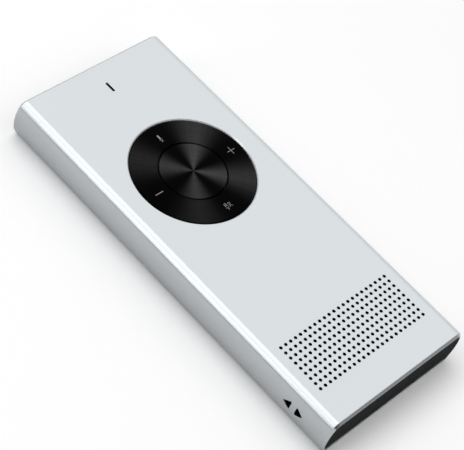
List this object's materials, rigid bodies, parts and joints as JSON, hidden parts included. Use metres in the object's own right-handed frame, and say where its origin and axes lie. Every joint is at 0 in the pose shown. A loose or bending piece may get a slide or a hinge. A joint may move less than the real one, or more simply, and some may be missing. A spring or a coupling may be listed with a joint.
{
  "type": "handheld translator",
  "caption": "Flat pocket device with an extruded aluminium shell, a round rocking control pad with a centre button, a speaker grille and strap eyelets.",
  "frame": {"origin": "centre of the flat back on which the device lies", "axes": "+Z out of the face, +Y along the body towards the end with the charging port, +X to the right seen from the front"},
  "size_m": [0.0522, 0.121, 0.0126],
  "materials": {
    "aluminium_shell": "bead-blasted silver anodising",
    "aluminium_cover": "bead-blasted silver anodising",
    "black_tape": "double-sided tape",
    "window_plastic": "satin black",
    "cap_plastic": "fine texture, charcoal",
    "smoked_acrylic": "smoked, polished",
    "mesh_fabric": "woven black acoustic mesh",
    "inner_plastic": "moulded black",
    "key_plastic": "moulded black",
    "spun_black": "spun black anodising",
    "screw_steel": "plain steel",
    "dome_metal": "gold-plated",
    "circuit_board": "green solder mask",
    "tinned_steel": "tinned sheet",
    "chip_resin": "moulded resin",
    "ceramic": "fired ceramic",
    "led_white": "clear over white",
    "boot_rubber": "soft moulded",
    "cell_foil": "dull pouch foil",
    "white_tape": "double-sided tape",
    "lead_jacket": "wire insulation",
    "connector_ivory": "moulded nylon",
    "speaker_plastic": "moulded grey",
    "cone_film": "pressed film",
    "coil_copper": "enamelled copper wire",
    "magnet_grey": "nickel-plated magnet",
    "foam_black": "closed-cell foam",
    "flex_copper": "copper on amber film"
  },
  "bodies": {
    "housing": {"front_shell": "aluminium_shell", "back_cover": "aluminium_cover", "cover_tape": "black_tape", "antenna_window": "window_plastic", "top_end_cap": "cap_plastic", "bottom_end_cap": "cap_plastic", "light_guide": "smoked_acrylic", "grille_mesh": "mesh_fabric", "strap_pocket_left": "inner_plastic", "strap_pocket_right": "inner_plastic", "chassis": "inner_plastic", "chassis_screws": "screw_steel", "keypad_base": "inner_plastic", "snap_domes": "dome_metal", "main_board": "circuit_board", "board_screws": "screw_steel", "shield_can": "tinned_steel", "processor": "chip_resin", "flash_memory": "chip_resin", "power_chip": "chip_resin", "passives": "ceramic", "status_led": "led_white", "usb_socket": "tinned_steel", "usb_tongue": "chip_resin", "microphone": "dome_metal", "microphone_boot": "boot_rubber", "battery_cell": "cell_foil", "battery_board": "circuit_board", "battery_tape": "white_tape", "battery_leads": "lead_jacket", "battery_connector": "connector_ivory", "speaker_frame": "speaker_plastic", "speaker_cone": "cone_film", "voice_coil": "coil_copper", "speaker_yoke": "tinned_steel", "speaker_magnet": "magnet_grey", "speaker_gasket": "foam_black", "speaker_leads": "lead_jacket", "antenna_flex": "flex_copper", "antenna_cable": "lead_jacket"},
    "pivot_ring": {"pivot_ring": "screw_steel", "pivot_pins": "screw_steel"},
    "control_ring": {"ring_carrier": "key_plastic", "ring_face": "spun_black"},
    "centre_button": {"button_carrier": "key_plastic", "button_face": "spun_black"}
  },
  "joints": [
    {"name": "ring_tilt_left_right", "type": "hinge", "parent": "housing", "child": "pivot_ring", "pos_m": [0, 0.0181, 0.0088], "axis": [0, 1, 0], "range_deg": [-1, 1], "stiffness_Nm_per_rad": 1.2},
    {"name": "ring_tilt_up_down", "type": "hinge", "parent": "pivot_ring", "child": "control_ring", "pos_m": [0, 0.0181, 0.0088], "axis": [1, 0, 0], "range_deg": [-1, 1], "stiffness_Nm_per_rad": 1.2},
    {"name": "button_press", "type": "slide", "parent": "housing", "child": "centre_button", "axis": [0, 0, -1], "range_m": [0, 0.0003], "stiffness_N_per_m": 5000}
  ]
}
